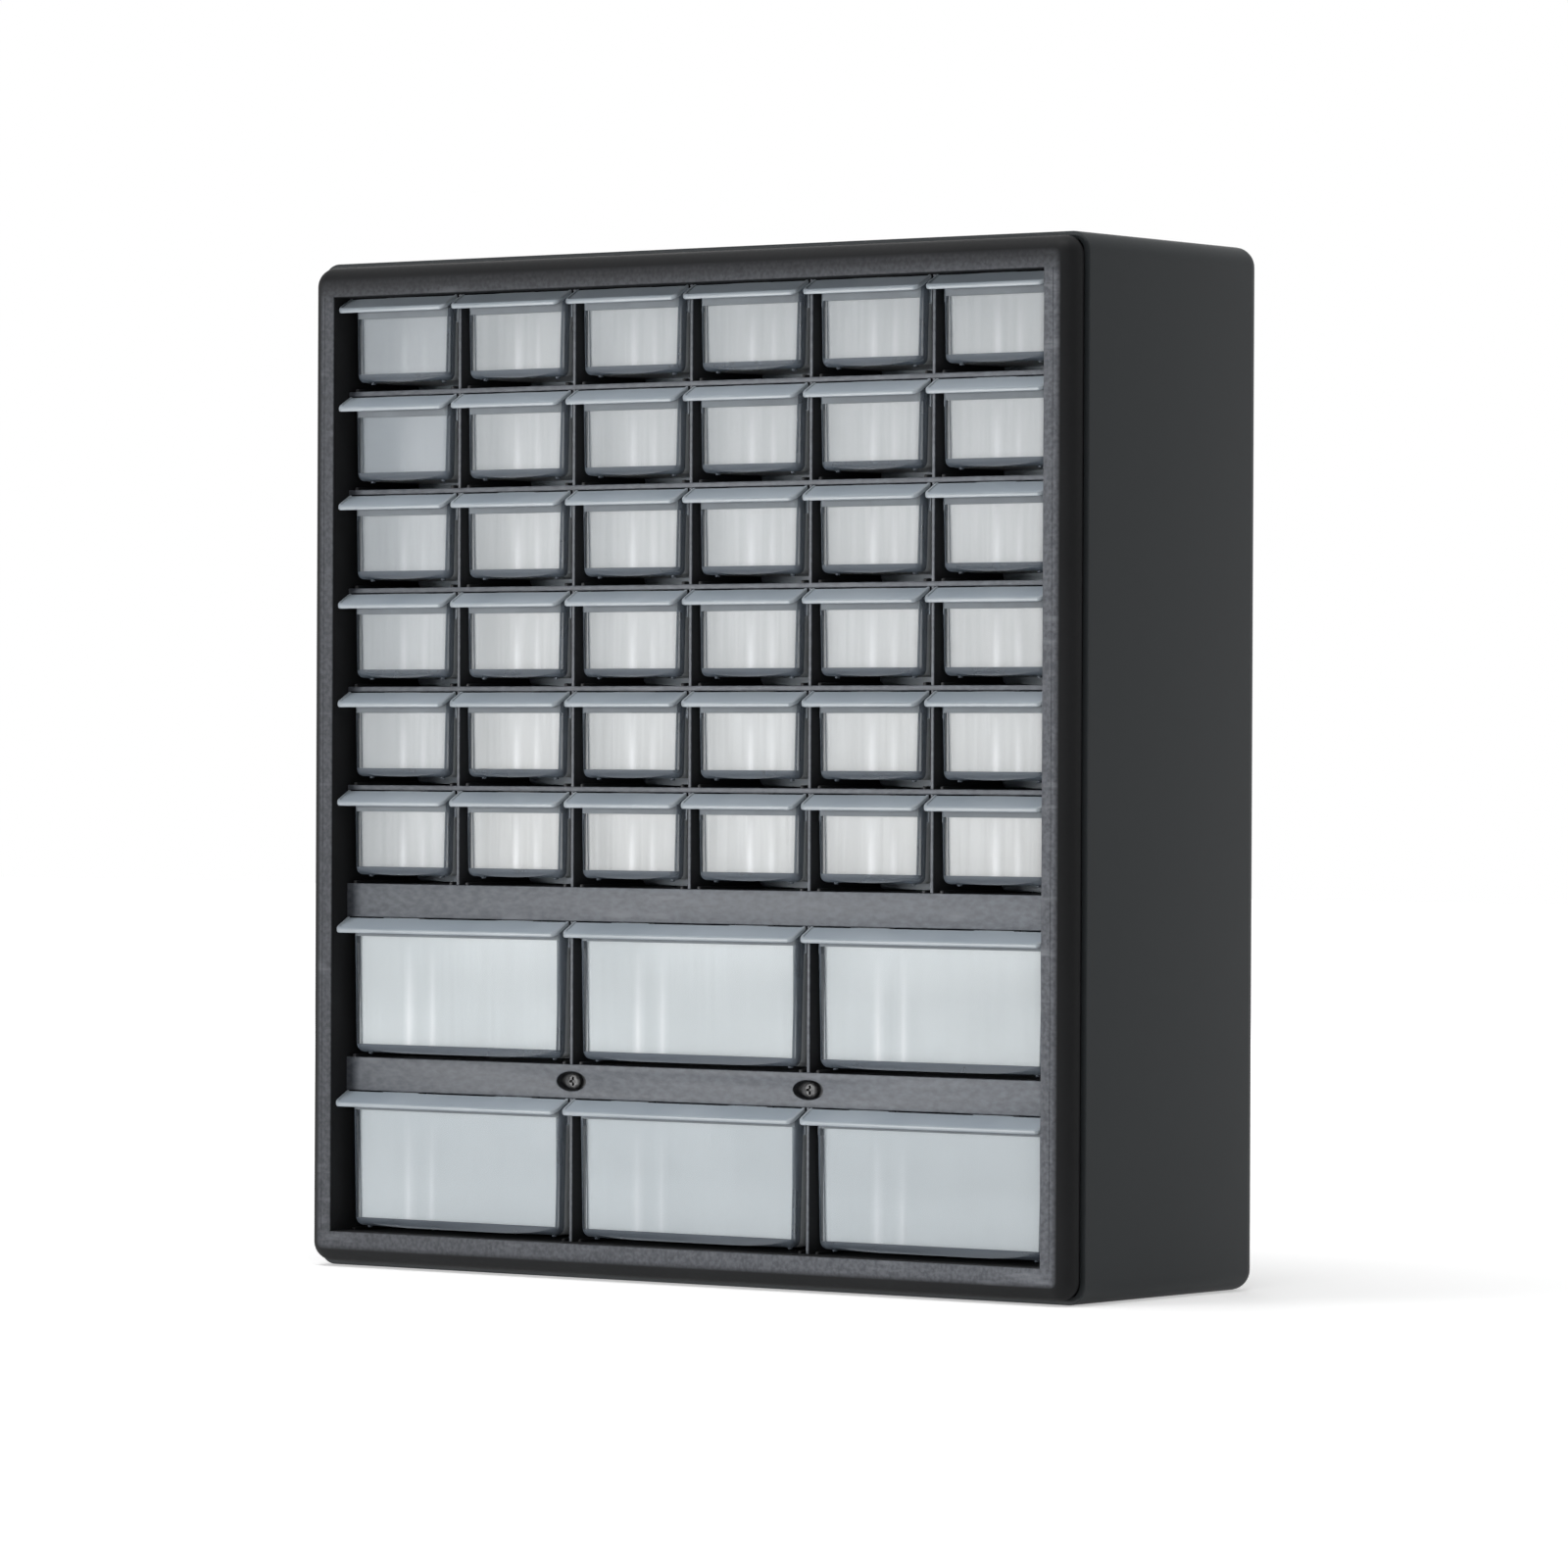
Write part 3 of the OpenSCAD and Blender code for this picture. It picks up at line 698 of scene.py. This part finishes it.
def makeBar(name, size):  # a channel, open at the back
    low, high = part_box(name)
    base = low[2] + ridgeDrop
    piece = addBlock(name + "_channel", (-openX, edgeY, base), (openX, high[1], base + size["height"]))
    chooseFaces(piece, lambda p, normal: normal.y > straight)
    bpy.ops.mesh.inset(thickness=size["plate"], depth=0)
    inwards = (0, edgeY + size["web"] - high[1], 0)
    bpy.ops.mesh.extrude_region_move(TRANSFORM_OT_translate={"value": inwards})
    objectMode()
    chooseEdges(piece, lambda p, way: p.y < edgeY + tiny)
    bevelChosen(size["ease"], 3)
    return piece, base


def makeOval(x, z, size):  # the hollow of a screw recess, an ellipse that narrows inwards
    half, tall, out = size["ovalLength"] / 2, size["ovalHeight"] / 2, 2 * mm
    deep = size["ovalDepth"] + out
    oval = addCylinder(56, 1, deep, (x, edgeY + deep / 2 - out, z), quarterTurn, (half, tall, 1))
    chooseVertices(oval, lambda p: p.y > edgeY)
    bpy.ops.transform.resize(value=size["ovalNarrow"])
    objectMode()
    chooseEdges(oval, lambda p, way: p.y > edgeY + size["ovalDepth"] - tiny)
    bevelChosen(size["ovalBottom"], 3)
    return oval


def addRecess(bar, base, side, size):
    x, z = side * screwX, base + size["height"] / 2
    boss, inset = size["bossHalf"], size["bossIn"]
    weld(bar, addBlock("boss", (x - boss, edgeY + inset, base + inset),
                       (x + boss, edgeY + size["bossDepth"], base + size["height"] - inset)))
    cut(bar, makeOval(x, z, size))
    wide, tall = size["ovalLength"] / 2 + 0.15 * mm, size["ovalHeight"] / 2 + 0.05 * mm
    chooseEdges(bar, lambda p, way: p.y < edgeY + 2 * tiny and abs(p.x - x) < wide and abs(p.z - z) < tall)
    bevelChosen(size["ovalRim"], 3)


upperBar, upperBase = makeBar("upper_bar", barSize)
join(upperBar, smallRails(upperBase + barSize["height"]) + largeRidges(upperBase))
lowerBar, lowerBase = makeBar("lower_bar", barSize)
screwX = smallPitch
for side in (-1, 1):
    addRecess(lowerBar, lowerBase, side, barSize)
join(lowerBar, largeRails(lowerBase + barSize["height"]) + largeRidges(lowerBase))
for bar, node in ((upperBar, "upper_bar"), (lowerBar, "lower_bar")):
    smooth(bar)
    dress(bar, gridPlastic)
    mountOnCase(bar, node)

screwSize = {
    "head": 3.2 * mm, "headTall": 2.2 * mm, "dome": 1.35 * mm, "shank": 1.6 * mm, "length": 24 * mm,
    "cross": 3.5 * mm, "blade": 1 * mm, "crossDepth": 1.1 * mm, "bladeReach": 4 * mm,
}


def makeScrew(x, size):
    seat, z = edgeY + barSize["ovalDepth"], lowerBase + barSize["height"] / 2
    top = seat - size["headTall"]
    place = (x, seat - size["headTall"] / 2, z)
    piece = addCylinder(36, size["head"], size["headTall"], place, quarterTurn)
    chooseEdges(piece, lambda p, way: p.y < top + tiny)
    bevelChosen(size["dome"], 6)
    chooseFaces(piece, lambda p, normal: normal.y > 0.99)
    bpy.ops.mesh.inset(thickness=size["head"] - size["shank"], depth=0)
    bpy.ops.mesh.extrude_region_move(TRANSFORM_OT_translate={"value": (0, size["length"], 0)})
    objectMode()
    long, half = size["cross"] / 2, size["blade"] / 2
    for wide, tall in ((long, half), (half, long)):
        cut(piece, addBlock("blade", (x - wide, seat - size["bladeReach"], z - tall),
                            (x + wide, top + size["crossDepth"], z + tall)))
    return piece


screws = join(makeScrew(-screwX, screwSize), [makeScrew(screwX, screwSize)])
screws.name = "frame_screw_pair"
smooth(screws, 50)
dress(screws, dullZinc)
mountOnCase(screws, "frame_screws")
print("bars and screws made")


# the drawers: a stepped tub, side rims, a sloping lip with a bead, and tabs

drawerSize = {  # y from the bezel, z from the cell's floor
    "wall": 1.6 * mm, "face": 1.8 * mm, "draft": 1.5, "belly": 5 * mm, "corner": 3.6 * mm, "set": 8.9 * mm,
    "back": 121.4 * mm, "keelY": 46.9 * mm, "keelIn": 0.6 * mm, "run": 0.4 * mm, "sideGap": 3.2 * mm,
    "rimTall": 9 * mm, "rimOut": 0.9 * mm, "rimEase": 0.3 * mm,
    "lipGap": 0.5 * mm, "lipY": 1 * mm, "lipBack": 9.7 * mm, "lipDrop": 4.7 * mm, "lip": 1.4 * mm,
    "lipRound": 3 * mm, "lipEase": 0.45 * mm, "lipLift": 0.5 * mm, "lipReach": 2 * mm,
    "bead": 1.2 * mm, "beadStep": 0.25 * mm, "beadTall": 0.4 * mm,
    "tab": 9.2 * mm, "tabFront": 0.9 * mm, "tabGap": 0.3 * mm, "tabEase": 0.15 * mm, "topGap": 1 * mm,
    "foot": 1 * mm, "footTall": 0.8 * mm, "footEase": 0.25 * mm,
}
slack = 0.05 * mm             # room for rounding when a face is looked up by its place


def makeTub(name, half, ends, z0, z1, inwards, size):  # a closed tapered box with round lower edges
    belly, corner = size["belly"] - inwards, size["corner"] - inwards
    piece = addBlock(name, (-half, ends[0], z0), (half, ends[1], z1))
    chooseFaces(piece, lambda p, normal: normal.z < -straight)
    narrow = (half - math.tan(math.radians(size["draft"])) * (z1 - z0)) / half
    bpy.ops.transform.resize(value=(narrow, 1, 1))
    objectMode()
    chooseEdges(piece, lambda p, way: abs(way.z) > 0.9)
    bevelChosen(corner, 6)
    reach = half - corner - 3 * mm
    chooseEdges(piece, lambda p, way: p.z < z0 + tiny and abs(p.x) > reach)  # the floor's two long edges
    bevelChosen(belly, 8)
    return piece


def makeLip(half, top, size):
    start, wall, reach = size["lipY"], size["lipBack"], size["lipReach"]
    back = wall + reach       # it runs on past the wall, and is trimmed at the end
    slope = size["lipDrop"] / (0.9 * wall)
    piece = addBlock("lip", (-half, start, top - size["lip"]), (half, back, top + size["beadTall"]))
    chooseVertices(piece, lambda p: p.y < start + tiny)
    moveChosen((0, 0, -slope * (wall - start)))
    chooseVertices(piece, lambda p: p.y > wall)
    moveChosen((0, 0, slope * reach))
    chooseEdges(piece, lambda p, way: abs(way.z) > 0.99 and p.y < start + tiny)
    bevelChosen(size["lipRound"], 8)
    chooseEdges(piece, lambda p, way: abs(way.z) < 0.9 and p.y < back - tiny)
    bevelChosen(size["lipEase"], 3)
    chooseFaces(piece, lambda p, normal: normal.z > 0.85 and normal.y < -0.4 and abs(normal.x) < 0.01)
    bpy.ops.mesh.inset(thickness=size["bead"] - size["lipEase"], depth=0)
    bpy.ops.mesh.inset(thickness=size["beadStep"], depth=0)
    moveChosen((0, 0, -size["beadTall"]))
    chooseFaces(piece, lambda p, normal: True)
    bpy.ops.mesh.bisect(plane_co=(0, wall, 0), plane_no=(0, 1, 0), clear_outer=True, use_fill=True)
    objectMode()
    return piece


def makeFoot(x, raiseBy, size):  # one of the two pegs under the front
    low, tall = raiseBy - size["footTall"], 2 * size["footTall"]
    place = (x, size["set"] + size["corner"] + size["foot"], low + tall / 2)
    foot = addCylinder(20, size["foot"], tall, place)
    chooseEdges(foot, lambda p, way: p.z < low + tiny)
    bevelChosen(size["footEase"], 2)
    return foot


def partWindow(piece, window, onWall):  # the front wall's window over the card is parted from its borders
    wide, low, high = window
    across, upward = (1, 0, 0), (0, 0, 1)
    for place, way in (((-wide, 0, 0), across), ((wide, 0, 0), across),
                       ((0, 0, low), upward), ((0, 0, high), upward)):
        chooseFaces(piece, onWall)
        bpy.ops.mesh.bisect(plane_co=place, plane_no=way)
        objectMode()


drawerSkins = (clearPlastic, edgeShadePlastic, hazyPlastic, rimPlastic, frostedPlastic, frostedPlastic,
               bandShadePlastic)
windowSkin, edgeSkin, hazySkin, rimSkin, frostSkin, tabSkin, bandSkin = range(len(drawerSkins))


def dressDrawer(piece, half, top, lipTop, raiseBy, window, onWall, size):
    dress(piece, drawerSkins[0])
    for material in drawerSkins[1:]:
        piece.data.materials.append(material)
    wide, low, high = window
    lipLow = lipTop - size["lip"] - size["lipDrop"] - 0.5 * mm
    frontEnd = size["set"] + size["corner"] + slack
    for part in piece.data.polygons:
        p, out = part.center, part.normal
        lip = p.z > lipLow and (p.y < size["set"] - slack or p.y < size["lipBack"] + 0.3 * mm
                                and p.z > lipTop - 2 * mm and abs(out.y) < 0.9)
        rim = abs(p.x) > half + 0.3 * mm and p.z > top - size["rimTall"] - 0.1 * mm
        step = abs(p.y - size["keelY"]) < 2.5 * mm and p.z < raiseBy + slack
        foot = p.z < raiseBy - slack and p.y < frontEnd + 3 * size["foot"]
        if p.z > lipTop + 0.1 * mm:
            part.material_index = tabSkin
        elif rim or lip and out.y < -0.8:
            part.material_index = rimSkin
        elif lip or step:
            part.material_index = frostSkin
        # painted shadow: the lip's shadow on the wall above the card
        elif p.y < size["set"] + size["face"] + slack and p.z > high:
            part.material_index = bandSkin
        elif onWall(p, out) and abs(p.x) < wide and low < p.z < high:
            part.material_index = windowSkin
        else:
            # painted shade: the front wall's borders and the feet are darker for the dark inside seen
            # through them
            part.material_index = edgeSkin if p.y < frontEnd or foot else hazySkin


def makeDrawer(name, cell, tabs, window, size):  # x = 0 cell middle, y = 0 bezel, z = 0 floor
    half = cell["wide"] / 2 - size["sideGap"]
    lipTop = cell["tall"] - size["topGap"]
    top, raiseBy = lipTop - ridgeDrop, cell["raise"]
    wall, keelHalf, front, back = size["wall"], half - size["keelIn"], size["set"], size["back"]
    face, above = front + size["face"], top + 6 * mm
    piece = makeTub(name, half, (front, back), raiseBy, top, 0, size)
    weld(piece, makeTub("keel", keelHalf, (size["keelY"], back), size["run"], top, 0, size))
    for side in (-1, 1):
        edges = sorted((side * (half - wall / 2), side * (half + size["rimOut"])))
        weld(piece, softBlock("rim", (edges[0], front + size["corner"], top - size["rimTall"]),
                              (edges[1], back - size["corner"], top), size["rimEase"], 2))
    cut(piece, makeTub("hollow", half - wall, (face, back - wall), raiseBy + wall, above, wall, size))
    cut(piece, makeTub("keelHollow", keelHalf - wall, (size["keelY"] + wall, back - wall),
                       size["run"] + wall, above, wall, size))
    inner = half - size["corner"]
    weld(piece, addBlock("faceTop", (-inner, front + 0.02 * mm, top - 2 * mm),
                         (inner, face - 0.02 * mm, lipTop - 0.6 * mm)))
    weld(piece, makeLip(cell["wide"] / 2 - size["lipGap"], lipTop + size["lipLift"], size))
    skim, tabTop = 0.03 * mm, cell["tall"] - size["tabGap"]
    for x in tabs:
        for low, high in ((front + size["tabFront"], face - skim), (back - wall + skim, back - skim)):
            weld(piece, softBlock("tab", (x - size["tab"], low, top - 1 * mm),
                                  (x + size["tab"], high, tabTop), size["tabEase"], 2))
    for side in (-1, 1):
        weld(piece, makeFoot(side * (half - size["belly"] - 2 * size["foot"]), raiseBy, size))
    onWall = lambda p, out: abs(out.y) > 0.9 and front - slack < p.y < face + slack
    partWindow(piece, window, onWall)
    smooth(piece, 30)
    dressDrawer(piece, half, top, lipTop, raiseBy, window, onWall, size)
    return piece


cardSize = {  # a fold: its place as a share of the half width, its width and depth in mm
    "thick": 0.3 * mm, "gap": 0.12 * mm, "bow": 0.3 * mm, "lean": 0.4 * mm, "bottom": 3.3 * mm,
    # shine sets how strong a fold's painted highlight is
    "steps": 60, "cuts": (0.25, 0.5, 0.7, 0.85), "fade": 1.35, "shine": 2.5,
    "smallHalf": 23.4 * mm, "smallTop": 29.4 * mm, "smallFolds": ((0.0, 1.7, 0.34), (0.44, 1.5, 0.2)),
    "largeHalf": 52 * mm, "largeTop": 49.4 * mm, "largeFolds": ((-0.5, 1.8, 0.3), (-0.27, 1.5, 0.24)),
}


def makeCard(name, kind, low, bow, paintedShade, size):  # a paper card, lightly creased, behind a front wall; its folds carry a painted highlight and the card a painted shade
    y = drawerSize["set"] + drawerSize["face"] + size["gap"]
    half, high = size[kind + "Half"], size[kind + "Top"]
    piece = addBlock(name, (-half, y, low), (half, y + size["thick"], high))
    pick(piece)
    editMode()
    for step in range(1, size["steps"]):
        bpy.ops.mesh.select_all(action="SELECT")
        bpy.ops.mesh.bisect(plane_co=(-half + 2 * half * step / size["steps"], 0, 0), plane_no=(1, 0, 0))
    for share in size["cuts"]:
        bpy.ops.mesh.select_all(action="SELECT")
        bpy.ops.mesh.bisect(plane_co=(0, 0, low + (high - low) * share), plane_no=(0, 0, 1))
    objectMode()
    foldHighlight = piece.data.attributes.new("foldHighlight", "FLOAT", "POINT")
    tone = piece.data.attributes.new("paintedShade", "FLOAT", "POINT")
    for point in piece.data.vertices:
        across = point.co.x / half
        # each card's painted shade level
        tone.data[point.index].value = paintedShade
        fade = min(1, size["fade"] * (1 - (point.co.z - low) / (high - low)))
        point.co.y += bow * (1 - across * across) + size["lean"]
        for place, width, depth in size[kind + "Folds"]:
            raised = fade * math.exp(-((point.co.x - place * half) / (width * mm)) ** 2)
            point.co.y -= depth * mm * raised
            # painted highlight: a deeper fold is painted lighter
            foldHighlight.data[point.index].value += raised * depth * size["shine"]
    smooth(piece, 30)
    return piece


smallCell = {  # the cards' painted shade, row by row
    "wide": 57.4 * mm, "tall": 38.1 * mm, "raise": 3.6 * mm, "paintedShade": (0.48, 0.44, 0.34, 0.25, 0.11, 0),
}
largeCell = {"wide": 116.2 * mm, "tall": 57.2 * mm, "raise": 2.1 * mm, "paintedShade": (0, 0.4)}
firstColumn, darkCard = 0.31, {(2, 1): 0.2}  # painted shade: small cards darker than the rest of their row
brightTabs = ((2, 6), (3, 2), (3, 6))        # small drawers whose tab shows as a bright line and keeps the frosted plastic; the others get the painted shade


def windowOf(kind, cell):
    return cardSize[kind + "Half"], cell["raise"] + cardSize["bottom"], cardSize[kind + "Top"]


smallDrawer = makeDrawer("small_drawer_form", smallCell, (0,), windowOf("small", smallCell), drawerSize)
largeDrawer = makeDrawer("large_drawer_form", largeCell, (-smallPitch / 2, smallPitch / 2),
                         windowOf("large", largeCell), drawerSize)
print("drawer forms made", len(smallDrawer.data.polygons), len(largeDrawer.data.polygons))


def placeDrawers(form, kind, rows, centres, cell, paper):
    for row in range(1, rows + 1):
        for col, x in enumerate(centres, 1):
            node = f"{kind}_drawer_{row}_{col}"
            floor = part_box(node)[0][2] - drawerSize["run"]  # a drawer's keel runs just above the floor
            shift = (x, frontY, floor)
            drawer = copyPiece(form, f"{kind}_bin_{row}_{col}", shift)
            # painted shade: tabs not listed as bright get the dark tab plastic
            if kind == "small" and (row, col) not in brightTabs:
                drawer.data.materials[tabSkin] = tabShadePlastic
            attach(drawer, node)
            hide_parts(node)
            bow = random.uniform(0, cardSize["bow"])
            # painted shade: column 1 and the listed cards darken more
            extraShade = firstColumn + darkCard.get((row, col), 0) if kind == "small" and col == 1 else 0
            flat = makeCard(f"{kind}_card_{row}_{col}", kind, cell["raise"] + cardSize["bottom"], bow,
                            cell["paintedShade"][row - 1] + extraShade, cardSize)
            pick(flat)
            bpy.ops.transform.translate(value=shift)
            putDown()
            dress(flat, paper)
            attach(flat, node)


placeDrawers(smallDrawer, "small", 6, smallCentres, smallCell, smallCard)
placeDrawers(largeDrawer, "large", 2, largeCentres, largeCell, largeCard)
for form in (smallDrawer, largeDrawer):
    bpy.data.objects.remove(form, do_unlink=True)
print("drawers and cards placed")


# floor, lights, camera

def seenRays(nodes, links):  # 1 for camera, glossy and transmission rays
    paths = nodes.new("ShaderNodeLightPath")
    source = paths.outputs["Is Camera Ray"]
    for name in ("Is Glossy Ray", "Is Transmission Ray"):
        either = nodes.new("ShaderNodeMath")
        either.operation = "MAXIMUM"
        links.new(source, either.inputs[0])
        links.new(paths.outputs[name], either.inputs[1])
        source = either.outputs["Value"]
    return paths, source


floorSet = {
    "colour": (0.85, 0.85, 0.85, 1), "span": 14, "drop": 0.2 * mm,  # just under the case, clear of its base
    "nearGlow": 0.45, "farGlow": 1.0, "near": 0.6, "far": 2.2,      # how far out the floor turns white
}


def makeFloor(look):
    deselectAll()
    bpy.ops.mesh.primitive_plane_add(size=look["span"], location=(0, 0, -look["drop"]))
    floor = bpy.context.object
    floor.name = "paleFloor"
    material, nodes, links, shader = startMaterial("paleFloor")
    shader.inputs["Base Color"].default_value = look["colour"]
    shader.inputs["Roughness"].default_value = 0.9
    shader.inputs["Emission Color"].default_value = (1, 1, 1, 1)
    place = nodes.new("ShaderNodeTexCoord")
    reach = nodes.new("ShaderNodeVectorMath")
    reach.operation = "LENGTH"
    links.new(place.outputs["Object"], reach.inputs[0])
    glow = addRange(nodes, links, reach.outputs["Value"], look["nearGlow"], look["farGlow"])
    glow.inputs["From Min"].default_value = look["near"]
    glow.inputs["From Max"].default_value = look["far"]
    seen = nodes.new("ShaderNodeMath")
    seen.operation = "MULTIPLY"
    links.new(seenRays(nodes, links)[1], seen.inputs[0])
    links.new(glow.outputs["Result"], seen.inputs[1])
    links.new(seen.outputs["Value"], shader.inputs["Emission Strength"])
    floor.data.materials.append(material)


worldSet = {"diffuse": 0.14, "front": 0.1, "behind": 0.9, "edge": 0.3}  # edge: how soft front meets behind


def makeWorld(look):  # white to the camera; gloss sees a dim side in front and a white one behind
    world = bpy.data.worlds.new("softStudio")
    bpy.context.scene.world = world
    world.use_nodes = True
    nodes, links = world.node_tree.nodes, world.node_tree.links
    backdrop = nodes["Background"]
    paths, seen = seenRays(nodes, links)
    way = nodes.new("ShaderNodeTexCoord")
    split = nodes.new("ShaderNodeSeparateXYZ")
    links.new(way.outputs["Generated"], split.inputs["Vector"])
    side = addRange(nodes, links, split.outputs["Y"], look["front"], look["behind"])
    side.inputs["From Min"].default_value = -look["edge"]
    side.inputs["From Max"].default_value = look["edge"]
    glossy = nodes.new("ShaderNodeMix")
    links.new(seen, glossy.inputs["Factor"])
    glossy.inputs["A"].default_value = look["diffuse"]
    links.new(side.outputs["Result"], glossy.inputs["B"])
    level = nodes.new("ShaderNodeMix")
    links.new(paths.outputs["Is Camera Ray"], level.inputs["Factor"])
    links.new(glossy.outputs["Result"], level.inputs["A"])
    level.inputs["B"].default_value = 1
    links.new(level.outputs["Result"], backdrop.inputs["Strength"])
    backdrop.inputs["Color"].default_value = (1, 1, 1, 1)


lampSet = {  # azimuth from straight ahead, distance, height, panel's width and height, power
    "key": (-30, 2.9, 0.26, 1.1, 0.5, 50),
    "fill": (42, 2.6, 0.3, 0.7, 0.6, 6),
    "top": (0, 0.5, 2.4, 1.6, 1.2, 36),
    "rear": (-140, 2.6, 1.2, 1.4, 1.4, 12),
}


def makeLamps(lamps):
    for name, (turn, away, high, wide, tall, power) in lamps.items():
        deselectAll()
        place = Vector((away * math.sin(math.radians(turn)), -away * math.cos(math.radians(turn)), high))
        aim = (Vector((0, 0, 0.2)) - place).to_track_quat("-Z", "Y").to_euler()
        bpy.ops.object.light_add(type="AREA", location=place, rotation=aim)
        light = bpy.context.object
        light.name = name + "Lamp"
        light.data.shape = "RECTANGLE"
        light.data.size = wide
        light.data.size_y = tall
        light.data.energy = power


cameraSet = {"place": (1.81739, -2.36959, 0.20815), "turn": (89.797, -0.256, 36.657), "lens": 174.19,
             "sensor": 36, "reach": 30}  # fitted to the photo's lines; place from the bezel's plane


def makeCamera(view):
    deselectAll()
    x, y, z = view["place"]
    bpy.ops.object.camera_add(location=(x, y + frontY, z), rotation=[math.radians(a) for a in view["turn"]])
    camera = bpy.context.object
    camera.data.lens = view["lens"]
    camera.data.sensor_width = view["sensor"]
    camera.data.clip_end = view["reach"]
    bpy.context.scene.camera = camera


makeFloor(floorSet)
makeWorld(worldSet)
makeLamps(lampSet)
makeCamera(cameraSet)
bpy.context.scene.view_settings.view_transform = "Standard"
deselectAll()
print("stage set")
